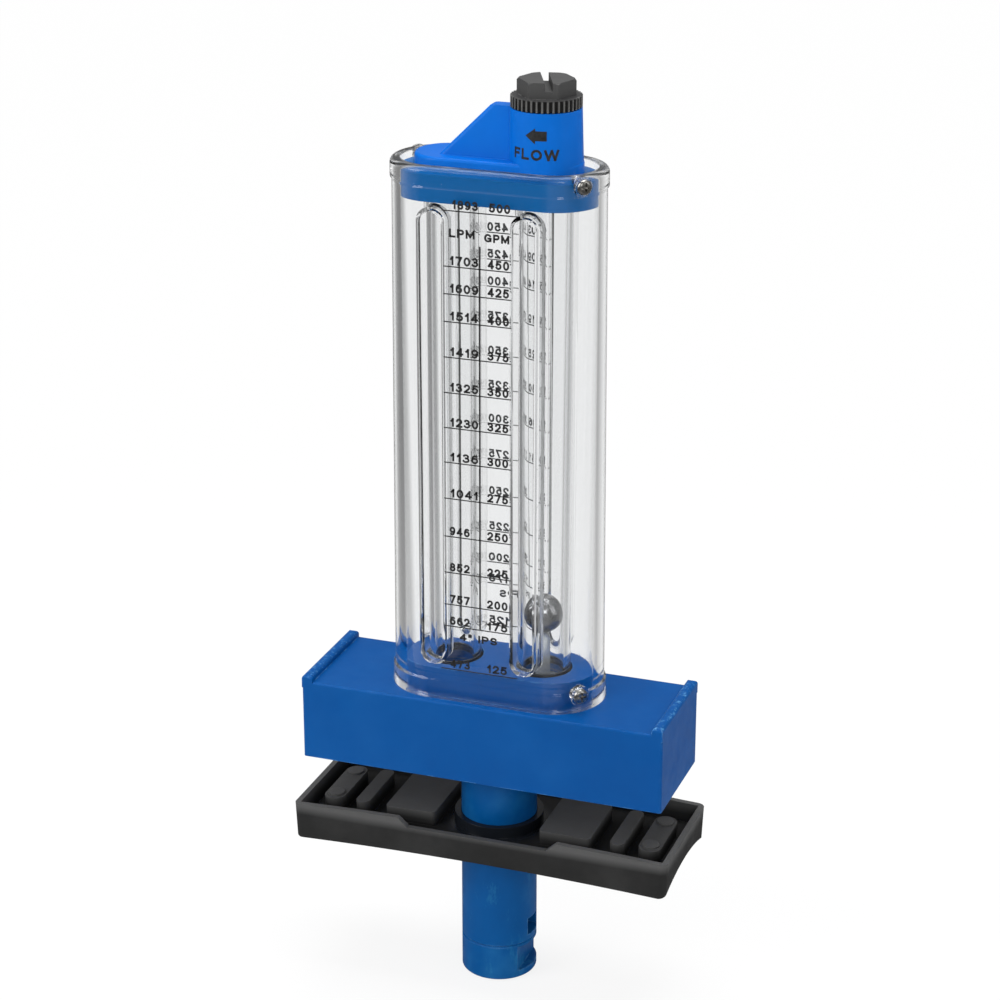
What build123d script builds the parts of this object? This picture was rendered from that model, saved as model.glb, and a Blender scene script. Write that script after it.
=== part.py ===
from build123d import *
import math
import os

# Pitot flow meter with a clear variable-area body, for a nominal 4 inch pipe.
# Millimetres. The origin is the centre of the probe's tip face. +Z runs up the meter,
# +X along the pipe towards the incoming flow, and +Y to the meter's back.

# Driving dimensions: probe
probe_radius = 10.2
probe_reach = 62.3
probe_seat_depth = 12.0
tip_height = 10.2
tip_edge_round = 0.5
tip_joint_groove = 0.35
passage_radius = 3.2
passage_offset = 4.3
port_half_width = 3.6
port_height = 5.0
port_gap_above_tip = 1.8
tip_flat_depth = 2.55
tip_flat_bottom = 2.2
tip_flat_height = 7.2
tip_spigot_height = 1.5
glue_gap = 0.02

# Driving dimensions: saddle
saddle_length = 100.0
saddle_depth = 32.5
saddle_height = 22.0
saddle_wall = 2.0
saddle_edge_round = 0.7
deck_thickness = 3.5
core_pad_gap = 1.7
core_socket_margin = 1.4
saddle_rib_outer_thickness = 1.5
saddle_rib_inner_thickness = 2.2
lip_width = 3.0
lip_height = 1.8
lip_round = 1.1
base_plug_height = 7.6
duct_bend_height = 17.0

# Driving dimensions: clear body
body_half_span = 14.9
body_radius = 13.6
body_height = 142.1
body_wall = 2.9
body_draft = 0.85
body_seat_depth = 0.4
body_seat_gap = 0.15
face_gap = 0.2
rim_above_insert = 2.2
lower_band_height = 5.7
upper_band_height = 5.6
band_proud = 0.45
band_round = 0.3
rim_round = 1.3
tube_offset = 12.3
tube_radius = 7.25
nozzle_radius = 6.0
nozzle_length = 3.8
return_bore_radius = 5.3
float_side_gap = 0.3
metering_bore_top_radius = 6.2
web_width = 11.0
slot_width = 6.5
slot_depth = 4.0
slot_end_cover = 1.1

# Driving dimensions: seals between the tubes and their sockets
socket_radius = 7.8
socket_end_play = 0.8
seal_gap = 0.02
seal_below_face = 0.95

# Driving dimensions: float and its lower stop
float_radius = 5.1
float_rest_gap = 0.05
stop_disc_thickness = 1.2
stop_disc_play = 0.4
stop_disc_gap = 0.1
stop_rod_radius = 1.8
stop_rod_height = 10.1
stop_hole_radius = 1.9
stop_hole_circle = 4.6

# Driving dimensions: top cap
insert_gap = 0.2
cap_insert_height = 7.0
plate_setback = 2.1
plate_end_setback = 1.5
plate_height = 3.6
plate_round = 0.9
boss_draft = 0.5
boss_top_radius = 8.85
boss_height = 16.6
bridge_foot_length = 27.5
bridge_head_length = 13.9
bridge_base_half_width = 5.0
bridge_top_half_width = 1.9
bridge_below_boss_top = 0.2
bridge_edge_round = 1.2
cap_duct_radius = 2.6
return_bore_roof = 1.3
cap_duct_high_end = 6.7

# Driving dimensions: top plug
plug_clearance = 0.08
plug_flange_gap = 0.2
plug_flange_setback = 0.35
plug_flange_height = 2.8
knurl_count = 40
knurl_radius = 0.36
plug_hex_across_flats = 12.7
plug_hex_height = 4.0
plug_hex_chamfer = 0.5
plug_hex_turn = 12.0
plug_slot_turn = 23.6
plug_slot_width = 2.0
plug_slot_depth = 2.1
plug_thread_length = 6.5
plug_stem_radius = 2.3
plug_stem_end_height = 5.5
plug_groove_depth = 1.2
plug_groove_height = 1.5
plug_groove_below_flange = 1.0

# Driving dimensions: screws
screw_angle = 42.0
screw_lower_height = 4.75
screw_upper_depth = 2.5
screw_head_radius = 2.0
screw_head_height = 1.4
screw_shank_radius = 1.25
screw_length = 7.4
screw_cross_width = 0.6
screw_cross_length = 2.6
screw_cross_depth = 0.8
screw_hole_gap = 0.02
screw_clearance_radius = 1.45
ear_radius = 2.7
ear_proud = 0.9
ear_recess_gap = 0.2
ear_recess_depth = 0.7

# Driving dimensions: saddle gasket
pipe_radius = 57.15
gasket_drop = 18.0
gasket_wall = 1.6
gasket_fit = 0.7
gasket_wall_height = 5.5
gasket_crown_thickness = 1.3
gasket_corner_round = 2.0
gasket_bend_radius = 1100.0
gasket_hole_gap = 0.08
gasket_collar_radius = 12.0
gasket_collar_height = 3.1
lowered_wall_drop = 2.7
lowered_half_length_top = 23.0
lowered_half_length_bottom = 19.5
pad_height = 4.1
pad_root = 0.3
pad_room_height = 8.0
pad_side_gap = 3.9
big_pad_start = 14.7
big_pad_end = 28.9
rib_pad_start = 34.0
rib_pad_end = 38.0
shoe_pad_start = 41.6
shoe_wall_gap = 0.4
shoe_button_radius = 2.3
shoe_button_height = 0.5
shoe_button_y = 6.8

# Sizes worked out from the driving dimensions
pocket_radius = body_radius - body_wall
insert_radius = pocket_radius - insert_gap
plate_radius = insert_radius - plate_setback
plate_half_span = body_half_span - plate_end_setback
metering_bore_bottom_radius = float_radius + float_side_gap
cap_bore_radius = metering_bore_top_radius
boss_base_radius = boss_top_radius + boss_draft
plug_flange_radius = boss_top_radius - plug_flange_setback
lower_socket_depth = nozzle_length - face_gap + stop_disc_thickness + stop_disc_play
upper_socket_depth = nozzle_length - face_gap + socket_end_play
upper_pocket_depth = cap_insert_height + face_gap + rim_above_insert
pad_half_depth = saddle_depth / 2 - saddle_wall - pad_side_gap
shoe_pad_end = saddle_length / 2 - saddle_wall - shoe_wall_gap
saddle_rib_inner_x = (big_pad_end + rib_pad_start) / 2
saddle_rib_outer_x = (rib_pad_end + shoe_pad_start) / 2
core_half_length_low = big_pad_start - core_pad_gap
core_half_length_high = tube_offset + socket_radius + core_socket_margin
top_radius = body_radius - body_draft

# Heights worked out from the driving dimensions
deck_z = probe_reach + saddle_height
base_plug_top = deck_z + base_plug_height
body_bottom = deck_z - body_seat_depth
body_top = deck_z + body_height
lower_pocket_roof = base_plug_top + face_gap
upper_pocket_floor = body_top - upper_pocket_depth
cap_insert_bottom = upper_pocket_floor + face_gap
cap_insert_top = cap_insert_bottom + cap_insert_height
plate_top = cap_insert_top + plate_height
boss_top = cap_insert_top + boss_height
lower_socket_floor = base_plug_top - lower_socket_depth
upper_socket_roof = cap_insert_bottom + upper_socket_depth
stop_disc_bottom = lower_socket_floor + stop_disc_gap
flange_bottom = boss_top + plug_flange_gap
screw_lower_z = deck_z + screw_lower_height
screw_upper_z = body_top - screw_upper_depth
stop_rod_top = base_plug_top + stop_rod_height
plug_stem_bottom = cap_insert_bottom + plug_stem_end_height
float_z = stop_rod_top + float_rest_gap + float_radius


def stadium(half_span, radius, bottom, height):
    """Upright solid whose plan is two half circles joined by straight sides."""
    return Pos(0, 0, bottom) * extrude(SlotCenterToCenter(2 * half_span, 2 * radius), height)


def upright_cylinder(radius, bottom, height, x=0.0, y=0.0):
    """Vertical cylinder given by its lower face."""
    return Pos(x, y, bottom + height / 2) * Cylinder(radius, height)


def rod_between(start, end, radius):
    """Round bar between two points, with ball ends."""
    start = Vector(*start)
    end = Vector(*end)
    run = end - start
    bar = extrude(Plane(origin=start, z_dir=run) * Circle(radius), run.length)
    return bar + Pos(*start) * Sphere(radius) + Pos(*end) * Sphere(radius)


def edges_at_height(shape, z):
    """Level edges of a shape at one height."""
    return shape.edges().filter_by_position(Axis.Z, z - 0.01, z + 0.01)


# Pitot tube: round shank with an upstream and a downstream passage, and a side port for each
def make_pitot_tube():
    length = probe_reach + probe_seat_depth - tip_height
    tube = upright_cylinder(probe_radius, tip_height, length)
    tube = chamfer(edges_at_height(tube, tip_height), tip_joint_groove)
    port_z = tip_height + port_gap_above_tip + port_height / 2
    for side in (-1, 1):
        passage = upright_cylinder(passage_radius, tip_height - 1, length + 2, side * passage_offset)
        port_depth = probe_radius - passage_offset + 1
        port_x = side * (passage_offset + port_depth / 2)
        port = Pos(port_x, 0, port_z) * Box(port_depth, 2 * port_half_width, port_height)
        tube = tube - passage - port
    return tube


# Probe tip: closed nose with a flat on the upstream side and a spigot in each passage
def make_pitot_tip():
    tip = upright_cylinder(probe_radius, 0, tip_height)
    tip = fillet(edges_at_height(tip, 0), tip_edge_round)
    tip = chamfer(edges_at_height(tip, tip_height), tip_joint_groove)
    flat_depth = probe_radius
    flat_x = probe_radius - tip_flat_depth + flat_depth / 2
    flat_z = tip_flat_bottom + tip_flat_height / 2
    tip = tip - Pos(flat_x, 0, flat_z) * Box(flat_depth, 4 * probe_radius, tip_flat_height)
    for side in (-1, 1):
        spigot_radius = passage_radius - glue_gap
        spigot_height = 1 + tip_spigot_height
        tip = tip + upright_cylinder(spigot_radius, tip_height - 1, spigot_height, side * passage_offset)
    return tip


# Screws stand radially at two diagonal corners of the body: 1 front right, -1 rear left
def screw_placement(corner, z):
    """Location whose +X points out along a screw's axis, from the corner's centre."""
    turn = -screw_angle if corner > 0 else 180 - screw_angle
    return Pos(corner * body_half_span, 0, z) * Rot(0, 0, turn)


def ear_face(z):
    """Distance from a corner's centre to an ear's face; the body is slimmer at the top."""
    shell = top_radius if z == screw_upper_z else body_radius
    return shell + band_proud + ear_proud


def screw_seat(z):
    """Distance from a corner's centre to the face under a screw's head."""
    return ear_face(z) - ear_recess_depth


def radial_cylinder(corner, z, radius, start, end):
    """Cylinder along a screw's axis, from one distance off the corner's centre to another."""
    local = Pos((start + end) / 2, 0, 0) * Rot(0, 90, 0) * Cylinder(radius, end - start)
    return screw_placement(corner, z) * local


# Saddle: moulded block with a ribbed hollow underside and the body's base plug on its deck
def make_saddle():
    block = Pos(0, 0, probe_reach + saddle_height / 2) * Box(saddle_length, saddle_depth, saddle_height)
    block = fillet(block.edges().filter_by(Axis.Z), saddle_edge_round)
    block = fillet(edges_at_height(block, deck_z), saddle_edge_round)
    for side in (-1, 1):
        lip = Box(lip_width, saddle_depth, 2 * lip_height)
        lip = fillet(lip.edges().group_by(Axis.Z)[-1], lip_round)
        block = block + Pos(side * (saddle_length - lip_width) / 2, 0, deck_z) * lip
    room_depth = saddle_depth - 2 * saddle_wall
    high_room = saddle_height - deck_thickness - pad_room_height
    room_length = saddle_length - 2 * saddle_wall
    low = Box(room_length, room_depth, pad_room_height + 1)
    low = Pos(0, 0, probe_reach + pad_room_height / 2 - 0.5) * low
    high = Pos(0, 0, probe_reach + pad_room_height + high_room / 2) * Box(room_length, room_depth, high_room)
    core_low = Box(2 * core_half_length_low, saddle_depth, 4 * saddle_height)
    core_high = Box(2 * core_half_length_high, saddle_depth, 4 * saddle_height)
    low = low - Pos(0, 0, probe_reach) * core_low
    high = high - Pos(0, 0, probe_reach) * core_high
    for side in (-1, 1):
        for x, thickness in (
            (saddle_rib_inner_x, saddle_rib_inner_thickness),
            (saddle_rib_outer_x, saddle_rib_outer_thickness),
        ):
            rib = Pos(side * x, 0, probe_reach) * Box(thickness, saddle_depth, 4 * saddle_height)
            low = low - rib
            high = high - rib
    block = block - low - high
    seat_radius = body_radius + band_proud + body_seat_gap
    block = block - stadium(body_half_span, seat_radius, body_bottom, body_seat_depth + 1)
    block = block + stadium(body_half_span, insert_radius, deck_z - 1, base_plug_height + 1)
    block = block - upright_cylinder(probe_radius + glue_gap, probe_reach - 1, probe_seat_depth + 1)
    for side in (-1, 1):
        block = block - upright_cylinder(
            socket_radius, lower_socket_floor, lower_socket_depth + 1, side * tube_offset
        )
        bend = (side * tube_offset, 0, probe_reach + duct_bend_height)
        foot = (side * passage_offset, 0, probe_reach + probe_seat_depth)
        block = block - rod_between(foot, bend, passage_radius)
        block = block - rod_between(bend, (side * tube_offset, 0, lower_socket_floor), passage_radius)
        block = block - radial_cylinder(
            side,
            screw_lower_z,
            screw_shank_radius + screw_hole_gap,
            screw_seat(screw_lower_z) - screw_length - 0.5,
            body_radius,
        )
    return block


# Metering bore: wider at the top, so that the float rises as the flow grows
def metering_bore():
    bottom = lower_pocket_roof - nozzle_length
    top = upper_pocket_floor + nozzle_length
    bore = Cone(metering_bore_bottom_radius, metering_bore_top_radius, top - bottom)
    ends = upright_cylinder(metering_bore_bottom_radius, bottom - 1, 1)
    ends = ends + upright_cylinder(metering_bore_top_radius, top, 1)
    return Pos(tube_offset, 0, 0) * (Pos(0, 0, (bottom + top) / 2) * bore + ends)


# Clear body: one moulding with an outer shell, two tubes joined to it by webs, and four outside slots
def make_meter_body():
    shell_height = body_top - rim_round - body_bottom
    draft_angle = math.degrees(math.atan(body_draft / shell_height))
    shell_plan = SlotCenterToCenter(2 * body_half_span, 2 * body_radius)
    body = Pos(0, 0, body_bottom) * extrude(shell_plan, shell_height, taper=draft_angle)
    lower_band = stadium(
        body_half_span, body_radius + band_proud, body_bottom, body_seat_depth + lower_band_height
    )
    lower_band = fillet(edges_at_height(lower_band, deck_z + lower_band_height), band_round)
    upper_band = stadium(
        body_half_span, top_radius + band_proud, body_top - upper_band_height, upper_band_height
    )
    upper_band = fillet(edges_at_height(upper_band, body_top), rim_round)
    upper_band = fillet(edges_at_height(upper_band, body_top - upper_band_height), band_round)
    body = body + lower_band + upper_band
    for corner in (-1, 1):
        for z in (screw_lower_z, screw_upper_z):
            ear = radial_cylinder(corner, z, ear_radius, top_radius - 1, ear_face(z))
            body = body + (ear & stadium(body_half_span, 2 * body_radius, deck_z, body_height))
    hollow = stadium(body_half_span, pocket_radius, deck_z - 1, body_height + 2)
    middle = upper_pocket_floor - lower_pocket_roof
    kept = Part()
    for side in (-1, 1):
        tube = upright_cylinder(tube_radius, lower_pocket_roof, middle, side * tube_offset)
        web = Pos(side * tube_offset, 0, lower_pocket_roof + middle / 2) * Box(
            web_width, 2 * pocket_radius + 1, middle
        )
        nozzle = upright_cylinder(
            nozzle_radius, lower_pocket_roof - nozzle_length, middle + 2 * nozzle_length, side * tube_offset
        )
        kept = kept + tube + web + nozzle
    body = body - (hollow - kept)
    body = body - metering_bore()
    body = body - upright_cylinder(return_bore_radius, deck_z, body_height, -tube_offset)
    slot_bottom = lower_pocket_roof + slot_end_cover
    slot_top = upper_pocket_floor - slot_end_cover
    slot_plan = Rot(90, 0, 0) * SlotOverall(slot_top - slot_bottom, slot_width, rotation=90)
    slot_cutter = extrude(slot_plan, slot_depth, both=True)
    for side in (-1, 1):
        for face in (-1, 1):
            place = Pos(side * tube_offset, face * body_radius, (slot_bottom + slot_top) / 2)
            body = body - place * slot_cutter
        for z in (screw_lower_z, screw_upper_z):
            body = body - radial_cylinder(side, z, screw_clearance_radius, pocket_radius - 1, ear_face(z))
            recess_radius = screw_head_radius + ear_recess_gap
            body = body - radial_cylinder(side, z, recess_radius, screw_seat(z), ear_face(z) + 1)
    return body


# Ring seal of round section round a tube's nozzle, squeezed in its socket
def make_tube_seal(x, z):
    section = (socket_radius - nozzle_radius) / 2
    return Pos(x, 0, z) * Torus(nozzle_radius + section, section - seal_gap)


# Float stop: rod with a round tip on a disc with four flow holes
def make_float_stop():
    disc = upright_cylinder(socket_radius - glue_gap * 5, stop_disc_bottom, stop_disc_thickness)
    for turn in range(45, 360, 90):
        hole = Pos(stop_hole_circle, 0, stop_disc_bottom) * Cylinder(stop_hole_radius, 8)
        disc = disc - Rot(0, 0, turn) * hole
    rod_height = stop_rod_top - stop_rod_radius - stop_disc_bottom
    rod = upright_cylinder(stop_rod_radius, stop_disc_bottom, rod_height)
    rod = rod + Pos(0, 0, stop_rod_top - stop_rod_radius) * Sphere(stop_rod_radius)
    return Pos(tube_offset, 0, 0) * (disc + rod)


# Top cap: insert, neck plate, plug boss, and the sloping bridge that covers the cross duct
def make_top_cap():
    insert = stadium(body_half_span, insert_radius, cap_insert_bottom, cap_insert_height)
    plate = stadium(plate_half_span, plate_radius, cap_insert_top - 1, plate_height + 1)
    plate = fillet(edges_at_height(plate, plate_top), plate_round)
    boss = Pos(tube_offset, 0, cap_insert_top + boss_height / 2) * Cone(
        boss_base_radius, boss_top_radius, boss_height
    )
    bridge_top = boss_top - bridge_below_boss_top
    foot = Pos(tube_offset - bridge_foot_length / 2, 0, plate_top - 1) * Rectangle(
        bridge_foot_length, 2 * bridge_base_half_width
    )
    head = Pos(tube_offset - bridge_head_length / 2, 0, bridge_top) * Rectangle(
        bridge_head_length, 2 * bridge_top_half_width
    )
    bridge = loft([foot, head])
    left_face = bridge.faces().sort_by(Axis.X)[0]
    bridge = fillet(left_face.edges().sort_by(Axis.Z)[1:], bridge_edge_round)
    cap = insert + plate + boss + bridge
    for side in (-1, 1):
        cap = cap - upright_cylinder(
            socket_radius, cap_insert_bottom - 1, upper_socket_depth + 1, side * tube_offset
        )
        cap = cap - radial_cylinder(
            side,
            screw_upper_z,
            screw_shank_radius + screw_hole_gap,
            screw_seat(screw_upper_z) - screw_length - 0.5,
            body_radius,
        )
    return_bore_top = plate_top - return_bore_roof
    cap = cap - upright_cylinder(
        return_bore_radius, upper_socket_roof - 1, return_bore_top - upper_socket_roof + 1, -tube_offset
    )
    cap = cap - upright_cylinder(cap_bore_radius, upper_socket_roof - 1, boss_height + 10, tube_offset)
    duct_low = (-tube_offset, 0, return_bore_top - cap_duct_radius)
    duct_high = (tube_offset - cap_bore_radius / 2, 0, cap_insert_top + cap_duct_high_end)
    return cap - rod_between(duct_low, duct_high, cap_duct_radius)


# Top plug: slotted hexagon on a knurled flange, with a threaded shank and the upper float stop
def make_top_plug():
    plan = Circle(plug_flange_radius) + PolarLocations(plug_flange_radius, knurl_count) * Circle(knurl_radius)
    flange = Pos(0, 0, flange_bottom) * extrude(plan, plug_flange_height)
    hexagon_radius = plug_hex_across_flats / 2
    hexagon = extrude(RegularPolygon(hexagon_radius, 6, major_radius=False), plug_hex_height)
    hex_top = flange_bottom + plug_flange_height + plug_hex_height
    hexagon = Pos(0, 0, flange_bottom + plug_flange_height) * hexagon
    crown_radius = hexagon_radius / math.cos(math.radians(30)) - plug_hex_chamfer
    crown = Cone(crown_radius + 2 * plug_hex_height, crown_radius, 2 * plug_hex_height)
    hexagon = hexagon & (Pos(0, 0, hex_top - plug_hex_height) * crown)
    slot = Box(plug_slot_width, 4 * plug_flange_radius, 2 * plug_slot_depth)
    hexagon = hexagon - Pos(0, 0, hex_top) * Rot(0, 0, plug_slot_turn - plug_hex_turn) * slot
    shank_radius = cap_bore_radius - plug_clearance
    shank = upright_cylinder(shank_radius, flange_bottom - plug_thread_length, plug_thread_length)
    groove_top = flange_bottom - plug_groove_below_flange
    groove = upright_cylinder(shank_radius + 1, groove_top - 2 * plug_groove_height, 2 * plug_groove_height)
    groove = groove - upright_cylinder(
        shank_radius - plug_groove_depth, groove_top - 2 * plug_groove_height, 2 * plug_groove_height
    )
    stem = upright_cylinder(plug_stem_radius, plug_stem_bottom, flange_bottom - plug_stem_bottom)
    turned = Rot(0, 0, plug_hex_turn) * (flange + hexagon)
    return Pos(tube_offset, 0, 0) * (turned + (shank - groove) + stem)


def make_plug_seal():
    inner = cap_bore_radius - plug_clearance - plug_groove_depth + seal_gap
    outer = cap_bore_radius - seal_gap
    section = (outer - inner) / 2
    z = flange_bottom - plug_groove_below_flange - plug_groove_height
    return Pos(tube_offset, 0, z) * Torus((inner + outer) / 2, section)


# Screw: pan head with a cross recess, and a pointed shank
def make_screw(corner, z):
    head = Pos(screw_head_height / 2, 0, 0) * Rot(0, 90, 0) * Cylinder(screw_head_radius, screw_head_height)
    head = fillet(head.edges().sort_by(Axis.X)[-1], screw_head_height * 0.7)
    cross = Box(2 * screw_cross_depth, screw_cross_width, screw_cross_length)
    cross = cross + Box(2 * screw_cross_depth, screw_cross_length, screw_cross_width)
    head = head - Pos(screw_head_height, 0, 0) * cross
    shank = Pos(-screw_length / 2, 0, 0) * Rot(0, 90, 0) * Cylinder(screw_shank_radius, screw_length)
    shank = chamfer(shank.edges().sort_by(Axis.X)[0], screw_shank_radius * 0.7)
    return screw_placement(corner, z) * (Pos(screw_seat(z), 0, 0) * (head + shank))


# Saddle gasket: shallow bowed tray that wraps the saddle, with pads that key into its ribs
def make_saddle_gasket():
    floor_z = probe_reach - gasket_drop
    bend_z = floor_z - gasket_bend_radius
    bend_axis = Axis((0, 0, bend_z), (0, 1, 0))
    half_depth = saddle_depth / 2 + gasket_fit + gasket_wall
    half_length = saddle_length / 2 + gasket_fit + gasket_wall
    crown_z = floor_z - gasket_crown_thickness
    edge_z = crown_z - (pipe_radius - math.sqrt(pipe_radius**2 - half_depth**2))
    wall_z = floor_z + gasket_wall_height

    def bow(angle, shape):
        """Turn a shape about the bend axis, so that it leans as the bowed tray does."""
        return Pos(0, 0, bend_z) * Rot(0, angle, 0) * Pos(0, 0, -bend_z) * shape

    def bowed_solid(section, half_run):
        angle = math.degrees(half_run / gasket_bend_radius)
        return revolve(bow(-angle, section), bend_axis, 2 * angle)

    with BuildSketch(Plane.YZ) as outer:
        with BuildLine():
            Polyline(
                (-half_depth, edge_z), (-half_depth, wall_z), (half_depth, wall_z), (half_depth, edge_z)
            )
            ThreePointArc((half_depth, edge_z), (0, crown_z), (-half_depth, edge_z))
        make_face()
    tray = bowed_solid(outer.sketch, half_length)
    tray = fillet(tray.edges().filter_by(GeomType.LINE).filter_by(Axis.Z, tolerance=5), gasket_corner_round)
    inner_half_depth = half_depth - gasket_wall
    pocket = Plane.YZ * Pos(0, floor_z + gasket_wall_height) * Rectangle(
        2 * inner_half_depth, 2 * gasket_wall_height
    )
    tray = tray - bowed_solid(pocket, half_length - gasket_wall)
    notch_z = wall_z - lowered_wall_drop
    notch = Plane.XZ * Polygon(
        (-lowered_half_length_top, wall_z + 0.5),
        (-lowered_half_length_bottom, notch_z),
        (lowered_half_length_bottom, notch_z),
        (lowered_half_length_top, wall_z + 0.5),
        align=None,
    )
    tray = tray - extrude(notch, 2 * half_depth, both=True)
    tray = tray + upright_cylinder(gasket_collar_radius, floor_z - pad_root, pad_root + gasket_collar_height)
    for side in (-1, 1):
        for start, end, corner in (
            (big_pad_start, big_pad_end, 1.0),
            (rib_pad_start, rib_pad_end, (rib_pad_end - rib_pad_start) / 2 - 0.05),
            (shoe_pad_start, shoe_pad_end, (shoe_pad_end - shoe_pad_start) / 2 - 0.05),
        ):
            plan = RectangleRounded(end - start, 2 * pad_half_depth, corner)
            pad = Pos(0, 0, floor_z - pad_root) * extrude(plan, pad_root + pad_height)
            angle = side * math.degrees((start + end) / 2 / gasket_bend_radius)
            tray = tray + bow(angle, pad)
        for y in (-shoe_button_y, shoe_button_y):
            button_top = pad_height + shoe_button_height
            button = upright_cylinder(shoe_button_radius, floor_z - pad_root, pad_root + button_top, 0, y)
            angle = side * math.degrees((shoe_pad_start + shoe_pad_end) / 2 / gasket_bend_radius)
            tray = tray + bow(angle, button)
    return tray - upright_cylinder(probe_radius + gasket_hole_gap, edge_z - 20, 60)


os.makedirs("parts", exist_ok=True)
lower_seal_z = base_plug_top - seal_below_face
upper_seal_z = cap_insert_bottom + seal_below_face
parts = {
    "saddle": make_saddle(),
    "pitot_tube": make_pitot_tube(),
    "pitot_tip": make_pitot_tip(),
    "saddle_gasket": make_saddle_gasket(),
    "meter_body": make_meter_body(),
    "metering_seal_lower": make_tube_seal(tube_offset, lower_seal_z),
    "return_seal_lower": make_tube_seal(-tube_offset, lower_seal_z),
    "metering_seal_upper": make_tube_seal(tube_offset, upper_seal_z),
    "return_seal_upper": make_tube_seal(-tube_offset, upper_seal_z),
    "float_stop": make_float_stop(),
    "float_ball": Pos(tube_offset, 0, float_z) * Sphere(float_radius),
    "top_cap": make_top_cap(),
    "top_plug": make_top_plug(),
    "plug_seal": make_plug_seal(),
    "screw_lower_front": make_screw(1, screw_lower_z),
    "screw_lower_rear": make_screw(-1, screw_lower_z),
    "screw_upper_front": make_screw(1, screw_upper_z),
    "screw_upper_rear": make_screw(-1, screw_upper_z),
}
for name, shape in parts.items():
    export_step(shape, f"parts/{name}.step")
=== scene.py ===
import math

import bmesh
import bpy
from mathutils import Matrix, Vector


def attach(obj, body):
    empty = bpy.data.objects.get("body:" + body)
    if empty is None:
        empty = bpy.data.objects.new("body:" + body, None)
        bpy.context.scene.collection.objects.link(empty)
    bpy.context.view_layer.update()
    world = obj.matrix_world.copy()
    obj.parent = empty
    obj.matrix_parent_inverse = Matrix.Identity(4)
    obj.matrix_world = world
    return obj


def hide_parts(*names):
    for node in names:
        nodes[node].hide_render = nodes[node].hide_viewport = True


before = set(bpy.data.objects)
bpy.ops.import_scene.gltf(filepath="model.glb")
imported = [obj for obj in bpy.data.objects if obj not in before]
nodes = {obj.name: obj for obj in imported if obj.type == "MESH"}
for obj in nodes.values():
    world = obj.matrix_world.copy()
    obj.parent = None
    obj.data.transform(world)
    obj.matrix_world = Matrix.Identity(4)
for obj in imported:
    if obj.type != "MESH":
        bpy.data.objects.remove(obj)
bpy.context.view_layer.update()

scene = bpy.context.scene
MM = 0.001  # a millimetre in metres

# Sizes that repeat the part's source, in millimetres
DECK = 84.3
BODY_BOTTOM = 83.9
BODY_TOP = 226.4
HALF_SPAN = 14.9
BODY_R = 13.6
TOP_R = 12.75
POCKET_R = 10.7
BAND = 0.45
LOWER_BAND_TOP = 90.0
UPPER_BAND_BOTTOM = 220.8
POCKET_ROOF = 92.1
POCKET_FLOOR = 217.0
NOZZLE = 3.8
TUBE_X = 12.3
TUBE_R = 7.25
NOZZLE_R = 6.0
RETURN_R = 5.3
METER_R_LOW = 5.4
METER_R_HIGH = 6.2
EAR_R = 2.7
EAR_PROUD = 1.35
RECESS_DEPTH = 0.7
SCREW_LOW = 89.05
SCREW_HIGH = 223.9
SCREW_ANGLE = 42.0
RECESS_R = 2.2
CLEAR_R = 1.45
FLANGE_BOTTOM = 241.0
BOSS_BOTTOM = 224.2
BOSS_HEIGHT = 16.6
BOSS_BASE_R = 9.35
BOSS_TAPER = 0.5
KNURLS = 40
KNURL_TURN = 12

# Sizes of the visible body that differ from the source's, set to bring the refraction near the photo's.
# In the source the slots are 6.5 wide, centred on the tubes, 4.0 deep, which puts their floor at 9.6,
# and 1.4 longer; webs 11.0 wide stand in for the channels; and the rim's rounding is 1.3.
CHANNEL_WALL = 0.9
SLOT_W = 6.0
SLOT_SHIFT = 1.5
SLOT_FLOOR_R = 8.6
SLOT_BOTTOM = 93.9
SLOT_TOP = 215.2
RIM_ROUND = 1.5
FOOT_ROUND = 0.3
BAND_STEP = 0.9
EAR_ROUND = 0.35


# Mesh helpers
def mesh_object(name, bm):
    """Object made of a bmesh whose points are in millimetres."""
    bmesh.ops.scale(bm, vec=(MM, MM, MM), verts=bm.verts)
    bmesh.ops.recalc_face_normals(bm, faces=bm.faces)
    mesh = bpy.data.meshes.new(name)
    bm.to_mesh(mesh)
    bm.free()
    obj = bpy.data.objects.new(name, mesh)
    scene.collection.objects.link(obj)
    return obj


def stack(name, rings):
    """Closed solid through rings that have the same number of points."""
    bm = bmesh.new()
    made = [[bm.verts.new(p) for p in ring] for ring in rings]
    count = len(rings[0])
    for low, high in zip(made, made[1:]):
        for i in range(count):
            j = (i + 1) % count
            bm.faces.new((low[i], low[j], high[j], high[i]))
    bm.faces.new(list(reversed(made[0])))
    bm.faces.new(made[-1])
    return mesh_object(name, bm)


def stadium_ring(half_span, radius, z, steps=48):
    """Outline with two straight sides and two round ends."""
    ring = []
    for side in (1, -1):
        for i in range(steps + 1):
            angle = math.pi * i / steps - math.pi / 2
            ring.append((side * (half_span + radius * math.cos(angle)), side * radius * math.sin(angle), z))
    return ring


def stadium_solid(name, half_span, levels):
    return stack(name, [stadium_ring(half_span, r, z) for r, z in levels])


def circle_ring(radius, z, x=0.0, steps=96):
    angles = [2 * math.pi * i / steps for i in range(steps)]
    return [(x + radius * math.cos(a), radius * math.sin(a), z) for a in angles]


def turned_solid(name, levels, x=0.0, steps=96):
    """Solid about an upright axis; levels are (radius, z)."""
    return stack(name, [circle_ring(r, z, x, steps) for r, z in levels])


def arc_levels(radius, z, size, start, end, steps=5):
    """Quarter round of a given size in a radius and height profile, between two angles in degrees."""
    levels = []
    for i in range(steps + 1):
        angle = math.radians(start + (end - start) * i / steps)
        levels.append((radius + size * math.cos(angle), z + size * math.sin(angle)))
    return levels


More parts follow.
